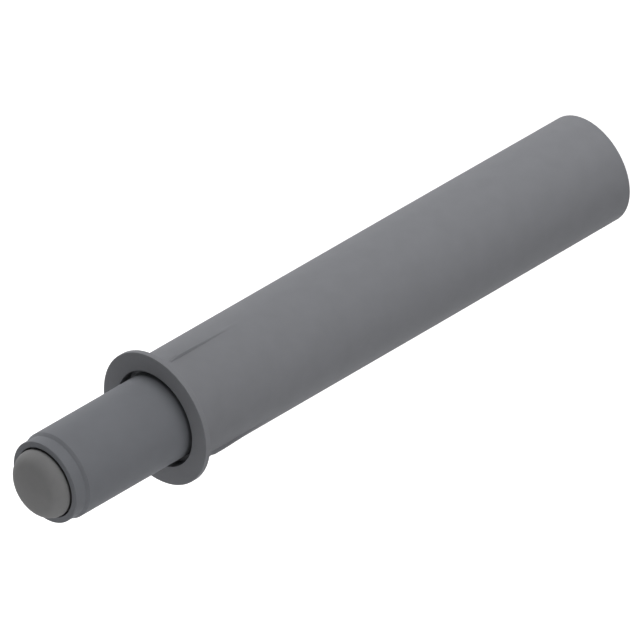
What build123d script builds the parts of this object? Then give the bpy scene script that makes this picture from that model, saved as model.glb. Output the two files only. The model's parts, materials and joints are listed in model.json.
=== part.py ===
from build123d import *

import os
from math import asin, cos, degrees, sqrt

# Soft close damper: a barrel pressed into a drilled hole up to its flange, and a sprung
# plunger that a closing door or drawer pushes in against oil.
# X is the damper's axis. X = 0 is the flange's back face, which seats on the panel.
# The barrel runs to +X and the plunger stands out to -X. Lengths are in millimetres.

# Housing, outside
flange_diameter = 11.95
flange_thickness = 0.5
flange_edge_chamfer = 0.06
flange_relief_width = 0.3
flange_relief_depth = 0.1
barrel_diameter = 9.8
barrel_length = 50.1
barrel_straight = 30.0
barrel_end_diameter = 9.7
barrel_end_round = 0.12

# Crush ribs behind the flange
rib_count = 3
rib_width = 0.4
rib_crest_width = 0.24
rib_height = 0.22
rib_start = 1.2
rib_lead = 0.9
rib_crest_end = 3.2
rib_run_out = 9.2

# Housing, inside
mouth_diameter = 8.6
mouth_depth = 1.5
mouth_lead = 0.3
floor_thickness = 1.2
socket_height = 1.45
socket_diameter = 5.2
socket_bore = 3.3
socket_lip = 0.5
socket_undercut = 0.2
socket_slot_width = 0.5
socket_slot_count = 3

# Plunger cylinder
plunger_diameter = 7.72
plunger_reach = 13.14
stroke = 12.5
slide_clearance = 0.08
ring_diameter = 7.32
ring_length = 1.1
cone_length = 0.3
pocket_diameter = 6.27
pocket_depth = 1.6
bulkhead_thickness = 2.4
chamber_diameter = 6.2
gland_diameter = 6.5
spigot_diameter = 3.8
spigot_length = 0.9
metering_groove_count = 2
metering_groove_width = 0.8
metering_groove_depth = 0.3
metering_groove_length = 12.0

# Buffer pad
pad_diameter = 6.04
pad_face_radius = 9.0
pad_edge_radius = 1.3
pad_edge_height = 0.16
pad_under_round = 0.16
pad_base_thickness = 0.45
pad_stem_diameter = 1.9
pad_stem_length = 1.5
pad_barb_height = 0.1
pad_barb_length = 0.45

# Gland, from the foam outwards
spacer_thickness = 0.8
spacer_hole_count = 6
spacer_hole_diameter = 0.5
spacer_hole_circle = 4.3
foam_length = 6.5
seal_length = 1.6
seal_lip_depth = 0.9
seal_lip_width = 0.35
backing_thickness = 0.4
guide_length = 2.4
guide_chamfer = 0.25
cap_spigot = 1.2
cap_flange = 0.8
cap_diameter = 7.6
cap_bead = 0.08
cap_chamfer = 0.2

# Rod and its foot
rod_diameter = 2.0
rod_journal_diameter = 1.4
rod_head_diameter = 2.1
rod_head_length = 0.35
rod_sink = 1.0
rod_clearance = 0.04
foot_diameter = 5.2
foot_thickness = 0.8
foot_stop_gap = 0.3
foot_nose_diameter = 2.7

# Piston with its valve ring
piston_thickness = 1.2
piston_hub_diameter = 3.4
piston_clearance = 0.05
piston_notch_count = 4
piston_notch_width = 0.9
piston_notch_depth = 0.5
ring_valve_thickness = 0.9
ring_valve_bore = 4.1
ring_valve_clearance = 0.03
ring_valve_travel = 0.3
ring_valve_gap = 0.025
throttle_width = 0.3
throttle_depth = 0.12
seat_diameter = 5.5
seat_thickness = 0.8
seat_spigot_length = 0.9
seat_notch_width = 1.0

# Return spring
wire_diameter = 0.4
wire_sides = 8
spring_mean_diameter = 4.6
spring_turns = 9
spring_end_gap = 0.04

# Gaps between pieces that are put together
fit_gap = 0.02
rest_gap = 0.1

# Places along the axis that follow from the sizes
flange_face = -flange_thickness
mouth_floor = flange_face + mouth_depth
floor_face = barrel_length - floor_thickness
socket_face = floor_face - socket_height
foot_face = socket_face - foot_thickness
plunger_front = -plunger_reach
pocket_floor = plunger_front + pocket_depth
bulkhead_face = pocket_floor + bulkhead_thickness
plunger_end = foot_face - foot_stop_gap - stroke - cap_flange
cap_spigot_face = plunger_end - cap_spigot
guide_face = cap_spigot_face - guide_length
backing_face = guide_face - backing_thickness
seal_face = backing_face - seal_length
foam_face = seal_face - foam_length
spacer_face = foam_face - spacer_thickness
piston_back = spacer_face - rest_gap
piston_front = piston_back - piston_thickness
valve_room = ring_valve_thickness + ring_valve_travel + 2 * ring_valve_gap
seat_back = piston_front - valve_room
seat_front = seat_back - seat_thickness
seat_spigot_face = seat_front - seat_spigot_length

# Radii that follow from the fits
guide_bore_radius = plunger_diameter / 2 + slide_clearance
gland_fit_radius = gland_diameter / 2 - fit_gap
rod_pass_radius = rod_diameter / 2 + rod_clearance
socket_room_radius = socket_bore / 2 + socket_undercut


def turned(*outline):
    """A solid of revolution about the X axis from (x, radius) points and curves."""
    edges = []
    for item in outline:
        edges.extend(item.edges())
    return revolve(Plane.XZ * make_face(edges), Axis.X)


def ring(start, end, inner, outer):
    """A plain ring or disc between two places on the axis."""
    return turned(Polyline((start, inner), (end, inner), (end, outer), (start, outer), close=True))


def around(piece, count):
    """Copies of a piece spread evenly round the axis."""
    return [Rot(X=360 / count * turn) * piece for turn in range(count)]


def crush_rib():
    """A rib on top of the barrel with a short lead, a long run-out and sloping sides."""
    base = barrel_diameter / 2
    root = base - rib_height
    top = base + rib_height
    buried = base - rib_height / 4
    buried_start = rib_start - rib_lead / 4
    buried_end = rib_run_out + (rib_run_out - rib_crest_end) / 4
    side = Polyline(
        (buried_start, root),
        (buried_start, buried),
        (rib_start + rib_lead, top),
        (rib_crest_end, top),
        (buried_end, buried),
        (buried_end, root),
        close=True,
    )
    wedge = extrude(Plane.XZ * make_face(side), rib_width, both=True)
    crest = rib_crest_width / 2
    foot = rib_width - crest
    section = Polyline((-foot, root), (-crest, top), (crest, top), (foot, root), close=True)
    return wedge & extrude(Plane.YZ * make_face(section), buried_end)


def housing():
    """Barrel, flange, ribs, stepped mouth and the snap socket in the closed end."""
    barrel = barrel_diameter / 2
    body = turned(
        Polyline(
            (flange_face, 0),
            (flange_face, flange_diameter / 2),
            (0, flange_diameter / 2),
            (0, barrel + flange_relief_width),
            (-flange_relief_depth, barrel + flange_relief_width),
            (-flange_relief_depth, barrel),
            (barrel_straight, barrel),
            (barrel_length, barrel_end_diameter / 2),
            (barrel_length, 0),
            close=True,
        )
    )
    rims = body.edges().filter_by(GeomType.CIRCLE)
    body = fillet(rims.sort_by(Axis.X)[-1], barrel_end_round)
    rims = body.edges().filter_by(GeomType.CIRCLE)
    body = chamfer(rims.sort_by(lambda rim: rim.radius)[-2:], flange_edge_chamfer)
    for rib in around(crush_rib(), rib_count):
        body += rib
    body -= turned(
        Polyline(
            (flange_face, 0),
            (flange_face, mouth_diameter / 2),
            (mouth_floor - mouth_lead, mouth_diameter / 2),
            (mouth_floor, guide_bore_radius),
            (floor_face, guide_bore_radius),
            (floor_face, 0),
            close=True,
        )
    )
    return body + socket()


def socket():
    """A slotted ring on the housing's floor that the rod's foot snaps into."""
    lip_end = socket_face + socket_lip
    body = turned(
        Polyline(
            (socket_face, socket_bore / 2),
            (lip_end, socket_bore / 2),
            (lip_end + socket_undercut, socket_room_radius),
            (floor_face, socket_room_radius),
            (floor_face, socket_diameter / 2),
            (socket_face, socket_diameter / 2),
            close=True,
        )
    )
    slot = Pos(socket_face + socket_height / 2, 0, socket_diameter / 2) * Box(
        socket_height, socket_slot_width, socket_diameter
    )
    for cut in around(slot, socket_slot_count):
        body -= cut
    return body


def rod_foot():
    """The foot on the rod's end: a flange that rests on the socket and a snap plug."""
    neck = socket_bore / 2 - fit_gap
    barb_start = socket_face + socket_lip + fit_gap
    barb = barb_start + socket_undercut
    nose = floor_face - rest_gap
    body = turned(
        Polyline(
            (foot_face, 0),
            (foot_face, foot_diameter / 2),
            (socket_face, foot_diameter / 2),
            (socket_face, neck),
            (barb_start, neck),
            (barb, neck + socket_undercut),
            (nose, foot_nose_diameter / 2),
            (nose, 0),
            close=True,
        )
    )
    return body - ring(foot_face, foot_face + foot_thickness + rod_sink, 0, rod_diameter / 2)


def piston_rod():
    """Steel rod: thick from the foot to the piston, then a journal with a peened head."""
    head_front = seat_spigot_face - rod_head_length
    rod = rod_diameter / 2
    journal = rod_journal_diameter / 2
    head = rod_head_diameter / 2
    return turned(
        Polyline(
            (head_front, 0),
            (head_front, head - rod_head_length / 2),
            (head_front + rod_head_length / 2, head),
            (seat_spigot_face, head),
            (seat_spigot_face, journal),
            (piston_back, journal),
            (piston_back, rod),
            (foot_face + foot_thickness + rod_sink, rod),
            (foot_face + foot_thickness + rod_sink, 0),
            close=True,
        )
    )


def piston():
    """Flange with rim notches for the returning oil, and the hub that carries the valve ring."""
    outer = chamber_diameter / 2 - piston_clearance
    body = turned(
        Polyline(
            (seat_back, rod_journal_diameter / 2),
            (piston_back, rod_journal_diameter / 2),
            (piston_back, outer),
            (piston_front, outer),
            (piston_front, piston_hub_diameter / 2),
            (seat_back, piston_hub_diameter / 2),
            close=True,
        )
    )
    notch = Pos(piston_front + piston_thickness / 2, 0, outer) * Box(
        piston_thickness, piston_notch_width, 2 * piston_notch_depth
    )
    for cut in around(notch, piston_notch_count):
        body -= cut
    return body


def valve_ring():
    """Loose ring on the hub. Its back face closes on the piston but for a fine throttle groove."""
    start = seat_back + ring_valve_gap
    end = start + ring_valve_thickness
    outer = chamber_diameter / 2 - ring_valve_clearance
    body = ring(start, end, ring_valve_bore / 2, outer)
    groove = Pos(end, 0, outer) * Box(2 * throttle_depth, throttle_width, chamber_diameter / 2)
    return body - groove


def spring_seat():
    """Spoked cap that keeps the valve ring on the hub, with a spigot that centres the spring."""
    seat = seat_diameter / 2
    hub = piston_hub_diameter / 2
    body = turned(
        Polyline(
            (seat_spigot_face, rod_journal_diameter / 2),
            (seat_back, rod_journal_diameter / 2),
            (seat_back, seat),
            (seat_front, seat),
            (seat_front, hub),
            (seat_spigot_face, hub),
            close=True,
        )
    )
    notch = Pos(seat_back - seat_thickness / 2, 0, hub + seat / 2) * Box(
        seat_thickness, seat_notch_width, seat
    )
    for cut in around(notch, piston_notch_count):
        body -= cut
    return body


def plunger_cylinder():
    """Moulded cylinder: stepped nose with a pocket, bulkhead, oil chamber and gland bore."""
    outer = plunger_diameter / 2
    nose = ring_diameter / 2
    pocket = pocket_diameter / 2
    chamber = chamber_diameter / 2
    gland = gland_diameter / 2
    stem_hole = pad_stem_diameter / 2 + fit_gap
    stem_end = pocket_floor + pad_stem_length + fit_gap
    cone_start = plunger_front + ring_length
    body = turned(
        Polyline(
            (stem_end, 0),
            (stem_end, stem_hole),
            (pocket_floor, stem_hole),
            (pocket_floor, pocket),
            (plunger_front, pocket),
            (plunger_front, nose),
            (cone_start, nose),
            (cone_start + cone_length, outer),
            (plunger_end, outer),
            (plunger_end, gland),
            (spacer_face, gland),
            (spacer_face, chamber),
            (bulkhead_face, chamber),
            (bulkhead_face, spigot_diameter / 2),
            (bulkhead_face + spigot_length, spigot_diameter / 2 - fit_gap),
            (bulkhead_face + spigot_length, 0),
            close=True,
        )
    )
    bead_middle = cap_spigot_face + cap_spigot / 2
    body -= turned(
        Polyline(
            (bead_middle - 2 * cap_bead, gland - cap_bead),
            (bead_middle, gland + cap_bead),
            (bead_middle + 2 * cap_bead, gland - cap_bead),
            close=True,
        )
    )
    for cut in around(metering_groove(), metering_groove_count):
        body -= cut
    return body


def metering_groove():
    """A groove along the chamber that runs out into the wall, so that the travel ends slowly."""
    wall = chamber_diameter / 2
    root = wall - metering_groove_depth
    shallow_end = piston_front - metering_groove_length
    side = Polyline(
        (piston_front, root),
        (piston_front, wall + metering_groove_depth),
        (shallow_end, wall - metering_groove_depth / 4),
        (shallow_end, root),
        close=True,
    )
    return extrude(Plane.XZ * make_face(side), metering_groove_width / 2, both=True)


def buffer_pad():
    """Domed rubber pad: its rim hangs over a neck, with a base in the pocket and a barbed stem."""
    rim = pad_diameter / 2
    neck = rim - pad_under_round
    edge_x = plunger_front - pad_edge_height
    edge_r = rim - pad_edge_radius
    reach = pad_face_radius - pad_edge_radius
    face_x = edge_x + sqrt(reach**2 - edge_r**2)
    meet = degrees(asin(edge_r / reach))
    face_arc = CenterArc((face_x, 0), pad_face_radius, 180 - meet, meet)
    edge_arc = CenterArc((edge_x, edge_r), pad_edge_radius, 90, 90 - meet)
    under_arc = CenterArc((edge_x, neck), pad_under_round, 0, 90)
    base_x = pocket_floor - pad_base_thickness
    base_r = pocket_diameter / 2 - fit_gap
    stem = pad_stem_diameter / 2 - pad_barb_height
    stem_end = pocket_floor + pad_stem_length
    barb_end = stem_end - pad_barb_length
    sides = Polyline(
        (edge_x + pad_under_round, neck),
        (base_x, neck),
        (base_x, base_r),
        (pocket_floor, base_r),
        (pocket_floor, stem),
        (barb_end, stem),
        (barb_end, stem + pad_barb_height),
        (stem_end, stem),
        (stem_end, 0),
        (face_x - pad_face_radius, 0),
    )
    return turned(face_arc, edge_arc, under_arc, sides)


def spacer_disc():
    """Perforated disc that stops the piston and lets oil through to the foam."""
    body = ring(spacer_face, foam_face, rod_pass_radius + rest_gap, gland_fit_radius)
    middle = (spacer_face + foam_face) / 2
    hole = Pos(middle, 0, spacer_hole_circle / 2) * Rot(Y=90) * Cylinder(
        spacer_hole_diameter / 2, spacer_thickness
    )
    for cut in around(hole, spacer_hole_count):
        body -= cut
    return body


def foam_sleeve():
    """Closed-cell foam that gives way as the rod enters."""
    return ring(foam_face, seal_face, rod_pass_radius + rest_gap, gland_fit_radius)


def rod_seal():
    """Lip seal: a groove in the pressure side parts the rod lip from the wall lip."""
    inner = rod_pass_radius
    outer = gland_fit_radius
    groove_end = seal_face + seal_lip_depth
    return turned(
        Polyline(
            (seal_face, inner),
            (backing_face, inner + rod_clearance),
            (backing_face, outer),
            (seal_face, outer),
            (seal_face, outer - seal_lip_width),
            (groove_end, (outer + inner) / 2 + seal_lip_width / 2),
            (groove_end, (outer + inner) / 2 - seal_lip_width / 2),
            (seal_face, inner + seal_lip_width),
            close=True,
        )
    )


def seal_backing():
    """Flat ring behind the seal."""
    return ring(backing_face, guide_face, rod_pass_radius + fit_gap, gland_fit_radius)


def rod_guide():
    """Bush that the rod runs in, chamfered at both mouths."""
    inner = rod_pass_radius
    outer = gland_fit_radius
    return turned(
        Polyline(
            (guide_face, inner + guide_chamfer),
            (guide_face + guide_chamfer, inner),
            (cap_spigot_face - guide_chamfer, inner),
            (cap_spigot_face, inner + guide_chamfer),
            (cap_spigot_face, outer),
            (guide_face, outer),
            close=True,
        )
    )


def end_cap():
    """Snap-in cap with a bead on its spigot and a flange over the cylinder's end."""
    inner = rod_pass_radius + rest_gap
    bead_middle = cap_spigot_face + cap_spigot / 2
    outer_face = plunger_end + cap_flange
    cap = cap_diameter / 2
    return turned(
        Polyline(
            (cap_spigot_face, inner),
            (outer_face, inner),
            (outer_face, cap - cap_chamfer),
            (outer_face - cap_chamfer, cap),
            (plunger_end, cap),
            (plunger_end, gland_fit_radius),
            (bead_middle + cap_bead, gland_fit_radius),
            (bead_middle, gland_fit_radius + cap_bead),
            (bead_middle - cap_bead, gland_fit_radius),
            (cap_spigot_face, gland_fit_radius),
            close=True,
        )
    )


def coil(start, turns, pitch):
    """Wire wound about the axis, its round section drawn with eight sides."""
    path = Helix(pitch, turns * pitch, spring_mean_diameter / 2, (start, 0, 0), (1, 0, 0))
    wire = RegularPolygon(wire_diameter / 2, wire_sides)
    section = Pos(start, 0, spring_mean_diameter / 2) * (Plane.XZ * wire)
    return sweep(section, path=path, is_frenet=True)


def return_spring():
    """Compression spring with a closed turn at each end."""
    closed_pitch = wire_diameter + spring_end_gap
    first = bulkhead_face + wire_diameter / 2
    last = seat_front - wire_diameter / 2
    open_length = last - first - 2 * closed_pitch
    open_start = first + closed_pitch
    body = coil(first, 1, closed_pitch)
    body += coil(open_start, spring_turns, open_length / spring_turns)
    body += coil(open_start + open_length, 1, closed_pitch)
    return body


pieces = {
    "housing": housing(),
    "rod_foot": rod_foot(),
    "piston_rod": piston_rod(),
    "piston": piston(),
    "valve_ring": valve_ring(),
    "spring_seat": spring_seat(),
    "return_spring": return_spring(),
    "plunger_cylinder": plunger_cylinder(),
    "buffer_pad": buffer_pad(),
    "spacer_disc": spacer_disc(),
    "foam_sleeve": foam_sleeve(),
    "rod_seal": rod_seal(),
    "seal_backing": seal_backing(),
    "rod_guide": rod_guide(),
    "end_cap": end_cap(),
}

os.makedirs("parts", exist_ok=True)
for name, piece in pieces.items():
    export_step(piece, f"parts/{name}.step")
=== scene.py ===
import json
import math

import bmesh
import bpy
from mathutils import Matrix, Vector


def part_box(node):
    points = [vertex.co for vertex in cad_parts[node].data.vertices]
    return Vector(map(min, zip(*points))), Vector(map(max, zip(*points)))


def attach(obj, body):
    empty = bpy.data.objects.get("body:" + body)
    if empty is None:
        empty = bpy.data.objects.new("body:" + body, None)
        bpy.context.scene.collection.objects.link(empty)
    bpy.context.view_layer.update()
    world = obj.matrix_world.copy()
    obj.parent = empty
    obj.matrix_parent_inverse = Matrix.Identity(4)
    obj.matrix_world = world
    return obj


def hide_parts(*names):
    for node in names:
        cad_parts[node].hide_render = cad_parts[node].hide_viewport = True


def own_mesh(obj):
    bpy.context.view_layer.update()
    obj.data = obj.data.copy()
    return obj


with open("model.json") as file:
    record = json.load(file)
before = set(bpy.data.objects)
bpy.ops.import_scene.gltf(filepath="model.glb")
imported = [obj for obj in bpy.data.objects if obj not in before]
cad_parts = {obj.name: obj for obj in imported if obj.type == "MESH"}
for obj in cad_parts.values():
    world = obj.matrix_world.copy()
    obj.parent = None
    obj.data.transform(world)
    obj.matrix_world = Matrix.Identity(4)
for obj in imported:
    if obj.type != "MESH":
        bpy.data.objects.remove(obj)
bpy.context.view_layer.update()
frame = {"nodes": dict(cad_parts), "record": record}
nodes = frame["nodes"]

MM = 0.001

# Sizes of the pieces that are made again here, in millimetres, as in the part itself. Only the
# edge rounds of the flange, mouth, ring, cone, pocket and pad base aren't in the part.

# Housing

FLANGE_RADIUS = 5.975
FLANGE_THICKNESS = 0.5
FLANGE_ROUND = 0.06
RELIEF_WIDTH = 0.3
RELIEF_DEPTH = 0.1
BARREL_RADIUS = 4.9
BARREL_STRAIGHT = 30.0
BARREL_LENGTH = 50.1
BARREL_END_RADIUS = 4.85
BARREL_END_ROUND = 0.12

RIB_COUNT = 3
RIB_HALF_WIDTH = 0.2
RIB_HALF_CREST = 0.12
RIB_HEIGHT = 0.22
RIB_START = 1.2
RIB_LEAD = 0.9
RIB_CREST_END = 3.2
RIB_END = 9.2

MOUTH_RADIUS = 4.3
MOUTH_DEPTH = 1.5
MOUTH_LEAD = 0.3
MOUTH_ROUND = 0.05
FLOOR_THICKNESS = 1.2
FLOOR_FACE = BARREL_LENGTH - FLOOR_THICKNESS
SOCKET_HEIGHT = 1.45
SOCKET_RADIUS = 2.6
SOCKET_BORE = 1.65
SOCKET_LIP = 0.5
SOCKET_UNDERCUT = 0.2
SOCKET_SLOT = 0.5
SOCKET_SLOTS = 3

# Plunger

PLUNGER_RADIUS = 3.86
PLUNGER_FRONT = -13.14
SLIDE_CLEARANCE = 0.08
RING_RADIUS = 3.66
RING_LENGTH = 1.1
RING_ROUND = 0.07
CONE_LENGTH = 0.3
CONE_ROUND = 0.05
POCKET_RADIUS = 3.135
POCKET_DEPTH = 1.6
POCKET_FLOOR = PLUNGER_FRONT + POCKET_DEPTH
POCKET_ROUND = 0.03
BULKHEAD = 2.4
CHAMBER_RADIUS = 3.1
GLAND_RADIUS = 3.25
SPIGOT_RADIUS = 1.9
SPIGOT_LENGTH = 0.9
STEM_HOLE = 0.97
STEM_HOLE_DEPTH = 1.52
GROOVE_COUNT = 2
GROOVE_HALF_WIDTH = 0.4
GROOVE_DEPTH = 0.3
GROOVE_RUN_OUT = 0.075
GROOVE_LENGTH = 12.0
CAP_SPIGOT = 1.2
CAP_BEAD = 0.08

# Pad

PAD_RADIUS = 3.02
PAD_FACE_RADIUS = 9.0
PAD_EDGE_RADIUS = 1.3
PAD_EDGE_HEIGHT = 0.16
PAD_UNDER_ROUND = 0.16
PAD_BASE = 0.45
PAD_BASE_RADIUS = 3.115
PAD_BASE_ROUND = 0.1
STEM_RADIUS = 0.85
STEM_LENGTH = 1.5
STEM_BARB = 0.1
STEM_BARB_LENGTH = 0.45

# Return spring

WIRE_RADIUS = 0.2
COIL_RADIUS = 2.3
COIL_END_PITCH = 0.44
COIL_TURNS = 9

# How finely the pieces are divided. A straight run over LONG_RUN gets a point EDGE_LOOP from
# each end. An even angle is left out where an added one is nearer than NEAREST_SHARE of a step.

AROUND = 192
ARC_STEPS = 6
DOME_STEPS = 24
RIB_STEPS = 12
SOCKET_STEPS = 32
EDGE_LOOP = 0.03
LONG_RUN = 4 * EDGE_LOOP
NEAREST_SHARE = 0.3
WIRE_SIDES = 14
STEPS_PER_TURN = 56
SHARP_ANGLE = math.radians(32)

# UPRIGHT_STEP in millimetres and UPRIGHT_ANGLE in radians stand for an upright wall. Values
# that differ by less than SAME_LENGTH or SAME_ANGLE count as the same.

UPRIGHT_STEP = 1e-3
UPRIGHT_ANGLE = 1e-3
SAME_LENGTH = 1e-4
SAME_ANGLE = 1e-6


def place(values):
    """A place in millimetres as a vector in metres."""
    return Vector(values) * MM


def place_round(x, radius, angle):
    """The place at a radius and an angle round the axis, with the angle measured from +Z."""
    return place((x, radius * math.sin(angle), radius * math.cos(angle)))


def even_angles(count):
    """The turn divided evenly, from +Z on."""
    return [math.tau * index / count for index in range(count)]


def off_from(angle, middle):
    """How far an angle is from another, the short way round."""
    return (angle - middle + math.pi) % math.tau - math.pi


def off_nearest(angle, middles):
    """How far an angle is from the nearest of several others."""
    return min(abs(off_from(angle, middle)) for middle in middles)


def angles_with(added):
    """The even division of the turn with these angles added, and its near neighbours left out."""
    added = sorted(angle % math.tau for angle in added)
    nearest = NEAREST_SHARE * math.tau / AROUND
    even = [angle for angle in even_angles(AROUND) if off_nearest(angle, added) > nearest]
    return sorted(added + even)


def rounded(*corners):
    """Points of an outline, each corner given as (x, radius, rounding) in millimetres."""
    points = []
    for index, (x, radius, rounding) in enumerate(corners):
        here = Vector((x, radius))
        if rounding == 0:
            points.append(here)
            continue
        before = Vector(corners[index - 1][:2])
        after = Vector(corners[index + 1][:2])
        to_before = (before - here).normalized()
        to_after = (after - here).normalized()
        half = to_before.angle(to_after) / 2
        middle = here + (to_before + to_after).normalized() * (rounding / math.sin(half))
        start = here + to_before * (rounding / math.tan(half)) - middle
        end = here + to_after * (rounding / math.tan(half)) - middle
        turn = start.angle_signed(end)
        for step in range(ARC_STEPS + 1):
            angle = -turn * step / ARC_STEPS
            across = start.x * math.cos(angle) - start.y * math.sin(angle)
            outward = start.x * math.sin(angle) + start.y * math.cos(angle)
            points.append(middle + Vector((across, outward)))
    return points


def arc(centre, radius, start, end, steps):
    """Points of an arc, its angles measured from the way towards -X to the way outwards."""
    angles = [start + (end - start) * step / steps for step in range(steps + 1)]
    return [
        Vector((centre[0] - radius * math.cos(angle), centre[1] + radius * math.sin(angle)))
        for angle in angles
    ]


def with_edge_loops(points):
    """The same outline with a point close to each end of every long straight run."""
    full = [points[0]]
    for before, after in zip(points, points[1:]):
        run = after - before
        if run.length > LONG_RUN:
            full.append(before + run.normalized() * EDGE_LOOP)
            full.append(after - run.normalized() * EDGE_LOOP)
        full.append(after)
    return full


def join_rings(built, rings):
    """Faces from each ring of points to the next, and over both ends. One point is a tip."""
    for lower, upper in zip(rings, rings[1:]):
        count = max(len(lower), len(upper))
        for step in range(count):
            after = (step + 1) % count
            if len(lower) == 1:
                corners = (lower[0], upper[step], upper[after])
            elif len(upper) == 1:
                corners = (lower[step], upper[0], lower[after])
            else:
                corners = (lower[step], upper[step], upper[after], lower[after])
            built.faces.new(corners)
    for ring in (rings[0], rings[-1]):
        if len(ring) > 1:
            built.faces.new(ring)


def linked(name, data):
    """A new object of this data, in the scene."""
    made = bpy.data.objects.new(name, data)
    bpy.context.collection.objects.link(made)
    return made


def shaded(name, built):
    """An object of the built faces, shaded smoothly between its sharp edges."""
    mesh = bpy.data.meshes.new(name)
    bmesh.ops.recalc_face_normals(built, faces=built.faces)
    built.to_mesh(mesh)
    built.free()
    mesh.shade_smooth()
    mesh.set_sharp_from_angle(angle=SHARP_ANGLE)
    return linked(name, mesh)


def turned(name, outline, angles, form=None):
    """A closed solid of revolution about X from an outline that starts and ends on the axis.

    The form gives the radius at (x, radius, angle) where the piece isn't round.
    """
    built = bmesh.new()
    rings = []
    for point in with_edge_loops(outline):
        if point.y < SAME_LENGTH:
            rings.append([built.verts.new(place((point.x, 0, 0)))])
            continue
        ring = []
        for angle in angles:
            radius = form(point.x, point.y, angle) if form else point.y
            ring.append(built.verts.new(place_round(point.x, radius, angle)))
        rings.append(ring)
    join_rings(built, rings)
    return shaded(name, built)


def rib_rise(x):
    """The rib's height over the barrel at a place along it."""
    rise = (x - RIB_START) / RIB_LEAD
    fall = (RIB_END - x) / (RIB_END - RIB_CREST_END)
    return RIB_HEIGHT * max(0, min(1, rise, fall))


def make_housing():
    """Flange, crush ribs, barrel, closed end, stepped mouth and bore in one outline."""
    foot = math.asin(RIB_HALF_WIDTH / BARREL_RADIUS)
    crest = math.asin(RIB_HALF_CREST / (BARREL_RADIUS + RIB_HEIGHT))
    middles = even_angles(RIB_COUNT)
    edges = [middle + side for middle in middles for side in (-foot, -crest, crest, foot)]

    def form(x, radius, angle):
        on_crest = off_nearest(angle, middles) < crest + SAME_ANGLE
        on_barrel = abs(radius - BARREL_RADIUS) < SAME_LENGTH
        if on_crest and on_barrel and RIB_START < x < RIB_END:
            return radius + rib_rise(x)
        return radius

    flange_face = -FLANGE_THICKNESS
    mouth_floor = flange_face + MOUTH_DEPTH
    bore = PLUNGER_RADIUS + SLIDE_CLEARANCE
    run_out = (RIB_END - RIB_CREST_END) / RIB_STEPS
    outline = rounded(
        (BARREL_LENGTH, 0, 0),
        (BARREL_LENGTH, BARREL_END_RADIUS, BARREL_END_ROUND),
        (BARREL_STRAIGHT, BARREL_RADIUS, 0),
        *[(RIB_END - run_out * step, BARREL_RADIUS, 0) for step in range(RIB_STEPS + 1)],
        (RIB_START + RIB_LEAD, BARREL_RADIUS, 0),
        (RIB_START, BARREL_RADIUS, 0),
        (-RELIEF_DEPTH, BARREL_RADIUS, 0),
        (-RELIEF_DEPTH, BARREL_RADIUS + RELIEF_WIDTH, 0),
        (0, BARREL_RADIUS + RELIEF_WIDTH, 0),
        (0, FLANGE_RADIUS, FLANGE_ROUND),
        (flange_face, FLANGE_RADIUS, FLANGE_ROUND),
        (flange_face, MOUTH_RADIUS, MOUTH_ROUND),
        (mouth_floor - MOUTH_LEAD, MOUTH_RADIUS, 0),
        (mouth_floor, bore, 0),
        (FLOOR_FACE, bore, 0),
        (FLOOR_FACE, 0, 0),
    )
    return turned("damper_housing", outline, angles_with(edges), form)


def make_socket():
    """The slotted ring on the housing's floor that the rod's foot snaps into."""
    face = FLOOR_FACE - SOCKET_HEIGHT
    room = SOCKET_BORE + SOCKET_UNDERCUT
    outline = [
        (face, SOCKET_BORE),
        (face + SOCKET_LIP, SOCKET_BORE),
        (face + SOCKET_LIP + SOCKET_UNDERCUT, room),
        (FLOOR_FACE, room),
        (FLOOR_FACE, SOCKET_RADIUS),
        (face, SOCKET_RADIUS),
    ]
    built = bmesh.new()
    for slot_middle in even_angles(SOCKET_SLOTS):
        rings = []
        for step in range(SOCKET_STEPS + 1):
            ring = []
            for x, radius in outline:
                side = math.asin(SOCKET_SLOT / 2 / radius)
                sweep = math.tau / SOCKET_SLOTS - 2 * side
                angle = slot_middle + side + sweep * step / SOCKET_STEPS
                ring.append(built.verts.new(place_round(x, radius, angle)))
            rings.append(ring)
        join_rings(built, rings)
    return shaded("damper_socket", built)


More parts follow.
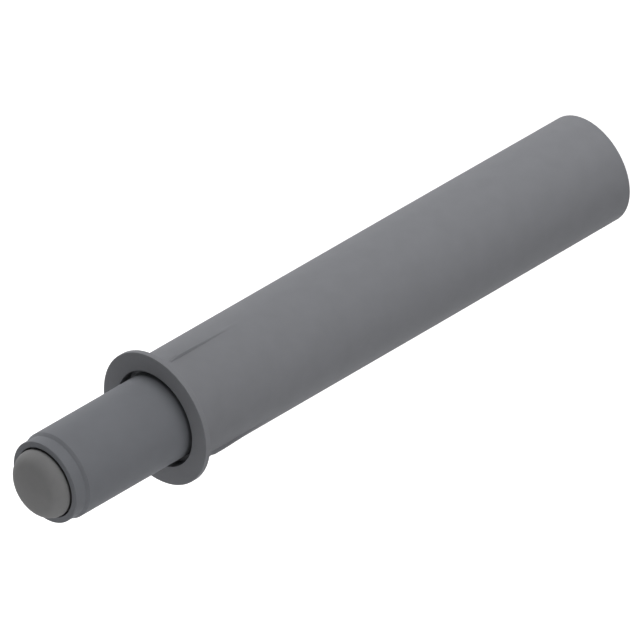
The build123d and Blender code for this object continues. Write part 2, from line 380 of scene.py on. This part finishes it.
def make_plunger():
    """Stepped nose with its pocket, cylinder, gland room and chamber with metering grooves."""
    bulkhead_face = POCKET_FLOOR + BULKHEAD
    cone_start = PLUNGER_FRONT + RING_LENGTH
    plunger_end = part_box("plunger_cylinder")[1].x / MM
    spacer_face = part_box("spacer_disc")[0].x / MM
    piston_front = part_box("piston")[0].x / MM
    bead = plunger_end - CAP_SPIGOT / 2
    groove_rise = GROOVE_DEPTH + GROOVE_RUN_OUT
    groove_origin = piston_front - GROOVE_LENGTH
    groove_start = groove_origin + GROOVE_LENGTH * GROOVE_RUN_OUT / groove_rise
    half = math.asin(GROOVE_HALF_WIDTH / CHAMBER_RADIUS)
    middles = even_angles(GROOVE_COUNT)
    sides = (-half - UPRIGHT_ANGLE, -half, half, half + UPRIGHT_ANGLE)
    edges = [middle + side for middle in middles for side in sides]

    def form(x, radius, angle):
        beside = off_nearest(angle, middles) > half + UPRIGHT_ANGLE / 2
        on_wall = abs(radius - CHAMBER_RADIUS) <= SAME_LENGTH
        if beside or not on_wall or x > piston_front:
            return radius
        run = (x - groove_origin) / GROOVE_LENGTH
        return radius + max(0, run * groove_rise - GROOVE_RUN_OUT)

    outline = rounded(
        (POCKET_FLOOR + STEM_HOLE_DEPTH, 0, 0),
        (POCKET_FLOOR + STEM_HOLE_DEPTH, STEM_HOLE, 0),
        (POCKET_FLOOR, STEM_HOLE, 0),
        (POCKET_FLOOR, POCKET_RADIUS, 0),
        (PLUNGER_FRONT, POCKET_RADIUS, POCKET_ROUND),
        (PLUNGER_FRONT, RING_RADIUS, RING_ROUND),
        (cone_start, RING_RADIUS, 0),
        (cone_start + CONE_LENGTH, PLUNGER_RADIUS, CONE_ROUND),
        (plunger_end, PLUNGER_RADIUS, CONE_ROUND),
        (plunger_end, GLAND_RADIUS, 0),
        (bead + 2 * CAP_BEAD, GLAND_RADIUS, 0),
        (bead, GLAND_RADIUS + CAP_BEAD, 0),
        (bead - 2 * CAP_BEAD, GLAND_RADIUS, 0),
        (spacer_face, GLAND_RADIUS, 0),
        (spacer_face, CHAMBER_RADIUS, 0),
        (piston_front + UPRIGHT_STEP, CHAMBER_RADIUS, 0),
        (piston_front, CHAMBER_RADIUS, 0),
        (groove_start, CHAMBER_RADIUS, 0),
        (bulkhead_face, CHAMBER_RADIUS, 0),
        (bulkhead_face, SPIGOT_RADIUS, 0),
        (bulkhead_face + SPIGOT_LENGTH, SPIGOT_RADIUS, 0),
        (bulkhead_face + SPIGOT_LENGTH, 0, 0),
    )
    return turned("damper_plunger", outline, angles_with(edges), form)


def make_pad():
    """Domed face with a rounded edge, neck, wider base and barbed stem."""
    edge_x = PLUNGER_FRONT - PAD_EDGE_HEIGHT
    edge_radius = PAD_RADIUS - PAD_EDGE_RADIUS
    neck = PAD_RADIUS - PAD_UNDER_ROUND
    reach = PAD_FACE_RADIUS - PAD_EDGE_RADIUS
    face_x = edge_x + math.sqrt(reach**2 - edge_radius**2)
    meet = math.asin(edge_radius / reach)
    outwards = math.pi / 2
    base_x = POCKET_FLOOR - PAD_BASE
    stem_end = POCKET_FLOOR + STEM_LENGTH
    barb_end = stem_end - STEM_BARB_LENGTH
    dome = (
        arc((face_x, 0), PAD_FACE_RADIUS, 0, meet, DOME_STEPS)
        + arc((edge_x, edge_radius), PAD_EDGE_RADIUS, meet, outwards, DOME_STEPS)[1:]
        + arc((edge_x, neck), PAD_UNDER_ROUND, outwards, math.pi, ARC_STEPS)[1:]
    )
    sides = rounded(
        (base_x, neck, 0),
        (base_x, PAD_BASE_RADIUS, PAD_BASE_ROUND),
        (POCKET_FLOOR, PAD_BASE_RADIUS, 0),
        (POCKET_FLOOR, STEM_RADIUS, 0),
        (barb_end, STEM_RADIUS, 0),
        (barb_end, STEM_RADIUS + STEM_BARB, 0),
        (stem_end, STEM_RADIUS, 0),
        (stem_end, 0, 0),
    )
    return turned("damper_pad", dome + sides, even_angles(AROUND))


def make_spring():
    """Round wire on a helix whose pitch eases from the closed end turns into the open ones."""
    low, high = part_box("return_spring")
    first = low.x / MM + WIRE_RADIUS
    last = high.x / MM - WIRE_RADIUS
    turns = COIL_TURNS + 2
    open_pitch = (last - first - 2 * COIL_END_PITCH) / COIL_TURNS
    half_step = 0.5 / STEPS_PER_TURN

    def along(turn):
        if turn < 1:
            return first + COIL_END_PITCH * turn
        if turn > turns - 1:
            return last - COIL_END_PITCH * (turns - turn)
        return first + COIL_END_PITCH + open_pitch * (turn - 1)

    built = bmesh.new()
    rings = []
    steps = turns * STEPS_PER_TURN
    for step in range(steps + 1):
        turn = turns * step / steps
        angle = math.tau * turn
        advance = along(turn + half_step) - along(turn - half_step)
        rise = advance / (2 * half_step * math.tau * COIL_RADIUS)
        outward = Vector((0, -math.sin(angle), math.cos(angle)))
        onward = Vector((rise, -math.cos(angle), -math.sin(angle))).normalized()
        across = onward.cross(outward)
        centre = Vector((along(turn), 0, 0)) + outward * COIL_RADIUS
        ring = []
        for way in even_angles(WIRE_SIDES):
            spot = centre + (outward * math.cos(way) + across * math.sin(way)) * WIRE_RADIUS
            ring.append(built.verts.new(place(spot)))
        rings.append(ring)
    join_rings(built, rings)
    return shaded("return_coil", built)


# Camera, along the axis (1, 1, -1), with the photograph's picture centre and width.
# All but the clipping, which is in metres, is in millimetres.

PICTURE_WIDTH = 52.62
PICTURE_CENTRE_RIGHT = 13.165
PICTURE_CENTRE_UP = 7.889
MIDDLE_DEPTH = 10.9
LENS = 1650
SENSOR = 36
CLIP_START = 0.01
CLIP_END = 10


def make_camera():
    right = Vector((1, -1, 0)).normalized()
    up = Vector((1, 1, 2)).normalized()
    back = Vector((-1, -1, 1)).normalized()
    centre = right * PICTURE_CENTRE_RIGHT + up * PICTURE_CENTRE_UP - back * MIDDLE_DEPTH
    distance = PICTURE_WIDTH / 2 / (SENSOR / 2 / LENS)
    data = bpy.data.cameras.new("camera")
    data.lens = LENS
    data.sensor_width = SENSOR
    data.clip_start = CLIP_START
    data.clip_end = CLIP_END
    camera = linked("camera", data)
    camera.location = place(centre + back * distance)
    camera.rotation_mode = "QUATERNION"
    camera.rotation_quaternion = (-back).to_track_quat("-Z", "Y")
    bpy.context.scene.camera = camera


# Light: soft round lamps and a pale world. Each lamp has its place in millimetres and its watts.

LAMPS = {
    "top": ((38, 0, 147), 0.102),
    "far_top": ((120, 0, 60), 0.047),
    "top_back": ((10, 110, 110), 0.0525),
    "back": ((20, 150, 20), 0.0855),
    "top_front": ((10, -110, 110), 0.0515),
    "front": ((10, -150, 0), 0.0605),
    "pad_end": ((-160, 0, 0), 0.0715),
}
LAMP_SIZE = 100
LAMP_AIM = (18, 0, 0)
WORLD_LIGHT = 0.1
WHITE = (1, 1, 1, 1)

FLOOR_HEIGHT = -60
FLOOR_RADIUS = 600
FLOOR_SIDES = 128
FLOOR_PALE = 0.8
FLOOR_GLOW = 0.6


def make_lamp(name, spot, watts):
    data = bpy.data.lights.new(name, "AREA")
    data.shape = "DISK"
    data.size = LAMP_SIZE * MM
    data.energy = watts
    lamp = linked(name, data)
    lamp.location = place(spot)
    toward = (place(LAMP_AIM) - lamp.location).to_track_quat("-Z", "Y")
    lamp.rotation_euler = toward.to_euler()


def seen_directly(tree):
    """1 for rays from the camera, or through gloss or glass, and 0 for the light itself."""
    path = tree.nodes.new("ShaderNodeLightPath")
    first = tree.nodes.new("ShaderNodeMath")
    second = tree.nodes.new("ShaderNodeMath")
    first.operation = "MAXIMUM"
    second.operation = "MAXIMUM"
    tree.links.new(path.outputs["Is Camera Ray"], first.inputs[0])
    tree.links.new(path.outputs["Is Glossy Ray"], first.inputs[1])
    tree.links.new(first.outputs[0], second.inputs[0])
    tree.links.new(path.outputs["Is Transmission Ray"], second.inputs[1])
    return second.outputs[0]


def make_world():
    """White where it is seen, and a weak even light."""
    world = bpy.data.worlds.new("world")
    world.use_nodes = True
    tree = world.node_tree
    tree.nodes.clear()
    out = tree.nodes.new("ShaderNodeOutputWorld")
    mix = tree.nodes.new("ShaderNodeMixShader")
    lit = tree.nodes.new("ShaderNodeBackground")
    seen = tree.nodes.new("ShaderNodeBackground")
    lit.inputs["Strength"].default_value = WORLD_LIGHT
    lit.inputs["Color"].default_value = WHITE
    seen.inputs["Strength"].default_value = 1.0
    seen.inputs["Color"].default_value = WHITE
    tree.links.new(seen_directly(tree), mix.inputs[0])
    tree.links.new(lit.outputs[0], mix.inputs[1])
    tree.links.new(seen.outputs[0], mix.inputs[2])
    tree.links.new(mix.outputs[0], out.inputs[0])
    bpy.context.scene.world = world


def make_floor():
    """A round pale floor that takes the soft shadow and is clear from below."""
    mesh = bpy.data.meshes.new("floor")
    built = bmesh.new()
    radius = FLOOR_RADIUS * MM
    bmesh.ops.create_circle(built, cap_ends=True, segments=FLOOR_SIDES, radius=radius)
    built.to_mesh(mesh)
    built.free()
    material = bpy.data.materials.new("floor")
    material.use_nodes = True
    tree = material.node_tree
    tree.nodes.clear()
    out = tree.nodes.new("ShaderNodeOutputMaterial")
    pale = tree.nodes.new("ShaderNodeBsdfDiffuse")
    glow = tree.nodes.new("ShaderNodeEmission")
    both = tree.nodes.new("ShaderNodeAddShader")
    clear = tree.nodes.new("ShaderNodeBsdfTransparent")
    side = tree.nodes.new("ShaderNodeNewGeometry")
    mix = tree.nodes.new("ShaderNodeMixShader")
    pale.inputs["Color"].default_value = (FLOOR_PALE, FLOOR_PALE, FLOOR_PALE, 1)
    glow.inputs["Color"].default_value = (FLOOR_GLOW, FLOOR_GLOW, FLOOR_GLOW, 1)
    tree.links.new(seen_directly(tree), glow.inputs["Strength"])
    tree.links.new(pale.outputs[0], both.inputs[0])
    tree.links.new(glow.outputs[0], both.inputs[1])
    tree.links.new(side.outputs["Backfacing"], mix.inputs[0])
    tree.links.new(both.outputs[0], mix.inputs[1])
    tree.links.new(clear.outputs[0], mix.inputs[2])
    tree.links.new(mix.outputs[0], out.inputs[0])
    mesh.materials.append(material)
    floor = linked("floor", mesh)
    floor.location = place((LAMP_AIM[0], 0, FLOOR_HEIGHT))


# Materials. Grains, patches and depths are in millimetres. A stretch makes a pattern longer
# along X, a spread is the share that a colour varies by, and noise keeps to its middle range.

EVEN = (1, 1, 1)
NOISE_LOW = 0.3
NOISE_HIGH = 0.7

PLASTIC_GRAIN = 0.09
PLASTIC_DEPTH = 0.0008
PLASTIC_PATCH = 1.6
PLASTIC_ROUGHER = 0.06
DRAG_GRAIN = 0.12
DRAG_STRETCH = (40, 1, 1)
DRAG_DEPTH = PLASTIC_DEPTH / 3

RUBBER_GRAIN = 0.05
RUBBER_DEPTH = 0.001
RUBBER_PATCH = 0.9
RUBBER_ROUGHER = 0.08
RUBBER_SPREAD = 0.035

STEEL_GRAIN = 0.03
STEEL_STRETCH = (60, 1, 1)
STEEL_DEPTH = 0.0004
STEEL_PATCH = 1.2
STEEL_SMOOTHER = 0.06
STEEL_ROUGHER = 0.1
STEEL_SPREAD = 0.05

FOAM_CELL = 0.22
FOAM_DEPTH = 0.03
FOAM_GLOSS = 0.2
FOAM_ROUGHNESS = (0.8, 0.95)
# How much the foam's colour is darkened in its cell hollows as painted shade, and lightened on
# the walls.
FOAM_HOLLOW_SHADE = 0.25


def new_material(name):
    material = bpy.data.materials.new(name)
    material.use_nodes = True
    return material, material.node_tree, material.node_tree.nodes["Principled BSDF"]


def object_place(tree, stretch=EVEN):
    """Object coordinates in millimetres, stretched where a pattern is longer one way."""
    coordinates = tree.nodes.new("ShaderNodeTexCoord")
    mapping = tree.nodes.new("ShaderNodeMapping")
    mapping.inputs["Scale"].default_value = [1 / MM / value for value in stretch]
    tree.links.new(coordinates.outputs["Object"], mapping.inputs["Vector"])
    return mapping.outputs["Vector"]


def noise(tree, grain, detail, stretch=EVEN):
    """Noise with grains of about this size in millimetres."""
    texture = tree.nodes.new("ShaderNodeTexNoise")
    texture.inputs["Scale"].default_value = 1 / grain
    texture.inputs["Detail"].default_value = detail
    tree.links.new(object_place(tree, stretch), texture.inputs["Vector"])
    return texture.outputs["Fac"]


def between(tree, factor, low, high):
    """A number that goes from low to high with the factor."""
    ranged = tree.nodes.new("ShaderNodeMapRange")
    ranged.inputs["From Min"].default_value = NOISE_LOW
    ranged.inputs["From Max"].default_value = NOISE_HIGH
    ranged.inputs["To Min"].default_value = low
    ranged.inputs["To Max"].default_value = high
    tree.links.new(factor, ranged.inputs["Value"])
    return ranged.outputs["Result"]


def tinted(tree, factor, colour, spread):
    """The colour, a little darker and lighter with the factor."""
    ramp = tree.nodes.new("ShaderNodeValToRGB")
    low, high = ramp.color_ramp.elements
    low.position = NOISE_LOW
    high.position = NOISE_HIGH
    low.color = [*(channel * (1 - spread) for channel in colour), 1]
    high.color = [*(channel * (1 + spread) for channel in colour), 1]
    tree.links.new(factor, ramp.inputs["Fac"])
    return ramp.outputs["Color"]


def bumped(tree, layers):
    """A normal from several height patterns, each with its depth in millimetres."""
    normal = None
    for height, depth in layers:
        bump = tree.nodes.new("ShaderNodeBump")
        bump.inputs["Strength"].default_value = 1.0
        bump.inputs["Distance"].default_value = depth * MM
        tree.links.new(height, bump.inputs["Height"])
        if normal:
            tree.links.new(normal, bump.inputs["Normal"])
        normal = bump.outputs["Normal"]
    return normal


def dress(tree, shader, colour, roughness, normal):
    """Links a colour, a roughness and a normal to the shader."""
    tree.links.new(colour, shader.inputs["Base Color"])
    tree.links.new(roughness, shader.inputs["Roughness"])
    tree.links.new(normal, shader.inputs["Normal"])


def moulded(name, colour, roughness, gloss=0.05, spread=0.025):
    """Moulded plastic: fine spark-eroded grain, faint mottling and drag lines along the axis."""
    material, tree, shader = new_material(name)
    mottle = noise(tree, PLASTIC_PATCH, detail=4)
    fine = noise(tree, PLASTIC_GRAIN, detail=2)
    drawn = noise(tree, DRAG_GRAIN, detail=2, stretch=DRAG_STRETCH)
    shader.inputs["Specular IOR Level"].default_value = gloss
    dress(
        tree,
        shader,
        tinted(tree, mottle, colour, spread),
        between(tree, fine, roughness - PLASTIC_ROUGHER, roughness + PLASTIC_ROUGHER),
        bumped(tree, [(fine, PLASTIC_DEPTH), (drawn, DRAG_DEPTH)]),
    )
    return material


def rubber(name, colour, roughness=0.8, gloss=0.15):
    """Matt rubber: a close, dry surface with a little bloom."""
    material, tree, shader = new_material(name)
    mottle = noise(tree, RUBBER_PATCH, detail=5)
    fine = noise(tree, RUBBER_GRAIN, detail=3)
    shader.inputs["Specular IOR Level"].default_value = gloss
    dress(
        tree,
        shader,
        tinted(tree, mottle, colour, RUBBER_SPREAD),
        between(tree, mottle, roughness - RUBBER_ROUGHER, roughness + RUBBER_ROUGHER),
        bumped(tree, [(fine, RUBBER_DEPTH)]),
    )
    return material


def drawn_steel(name, colour, roughness):
    """Bright drawn steel with fine lines along the axis and a slightly uneven polish."""
    material, tree, shader = new_material(name)
    lines = noise(tree, STEEL_GRAIN, detail=3, stretch=STEEL_STRETCH)
    patch = noise(tree, STEEL_PATCH, detail=3)
    shader.inputs["Metallic"].default_value = 1
    dress(
        tree,
        shader,
        tinted(tree, patch, colour, STEEL_SPREAD),
        between(tree, lines, roughness - STEEL_SMOOTHER, roughness + STEEL_ROUGHER),
        bumped(tree, [(lines, STEEL_DEPTH)]),
    )
    return material


def foamed(name, colour):
    """Closed-cell foam: small round cells with painted shade, darker down in their hollows and
    lighter on the walls between them.
    """
    material, tree, shader = new_material(name)
    cells = tree.nodes.new("ShaderNodeTexVoronoi")
    cells.inputs["Scale"].default_value = 1 / FOAM_CELL
    tree.links.new(object_place(tree), cells.inputs["Vector"])
    distance = cells.outputs["Distance"]
    shader.inputs["Specular IOR Level"].default_value = FOAM_GLOSS
    # The colour follows the cells' dents: painted shade in the hollows, lighter on the walls.
    dress(
        tree,
        shader,
        tinted(tree, distance, colour, FOAM_HOLLOW_SHADE),
        between(tree, distance, *FOAM_ROUGHNESS),
        bumped(tree, [(distance, FOAM_DEPTH)]),
    )
    return material


HOUSING_GREY = (0.196, 0.2, 0.213)
PLUNGER_GREY = (0.166, 0.172, 0.186)
PAD_GREY = (0.196, 0.196, 0.197)
ROD_BRIGHT = (0.6, 0.6, 0.62)
SPRING_BRIGHT = (0.5, 0.5, 0.51)
ACETAL_WHITE = (0.75, 0.75, 0.72)
ACETAL_BLACK = (0.05, 0.05, 0.055)
SEAL_BLACK = (0.02, 0.02, 0.02)
FOAM_GREY = (0.12, 0.12, 0.13)

finishes = {
    "housing_plastic": moulded("housing_plastic", HOUSING_GREY, 0.62),
    "plunger_plastic": moulded("plunger_plastic", PLUNGER_GREY, 0.58),
    "pad_rubber": rubber("pad_rubber", PAD_GREY),
    "rod_steel": drawn_steel("rod_steel", ROD_BRIGHT, 0.22),
    "spring_steel": drawn_steel("spring_steel", SPRING_BRIGHT, 0.3),
    "white_plastic": moulded("white_plastic", ACETAL_WHITE, 0.4, gloss=0.5, spread=0.015),
    "dark_plastic": moulded("dark_plastic", ACETAL_BLACK, 0.45, gloss=0.5),
    "seal_rubber": rubber("seal_rubber", SEAL_BLACK, 0.55, gloss=0.5),
    "foam": foamed("foam", FOAM_GREY),
}

for subpart in frame["record"]["subparts"]:
    materials = nodes[subpart["node"]].data.materials
    materials.clear()
    materials.append(finishes[subpart["material_slot"]])


def add_piece(piece, body, slot, replaced):
    """Gives a piece its finish and its body, and lets it stand for its solid."""
    piece.data.materials.append(finishes[slot])
    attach(piece, body)
    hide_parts(replaced)
    return piece


add_piece(make_housing(), "housing", "housing_plastic", "housing")
add_piece(make_socket(), "housing", "housing_plastic", "housing")
add_piece(make_plunger(), "plunger", "plunger_plastic", "plunger_cylinder")
add_piece(make_pad(), "plunger", "pad_rubber", "buffer_pad")
spring = add_piece(make_spring(), "housing", "spring_steel", "return_spring")
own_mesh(spring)

make_camera()
for name, (spot, watts) in LAMPS.items():
    make_lamp(name, spot, watts)
make_world()
make_floor()
bpy.context.scene.view_settings.view_transform = "Standard"
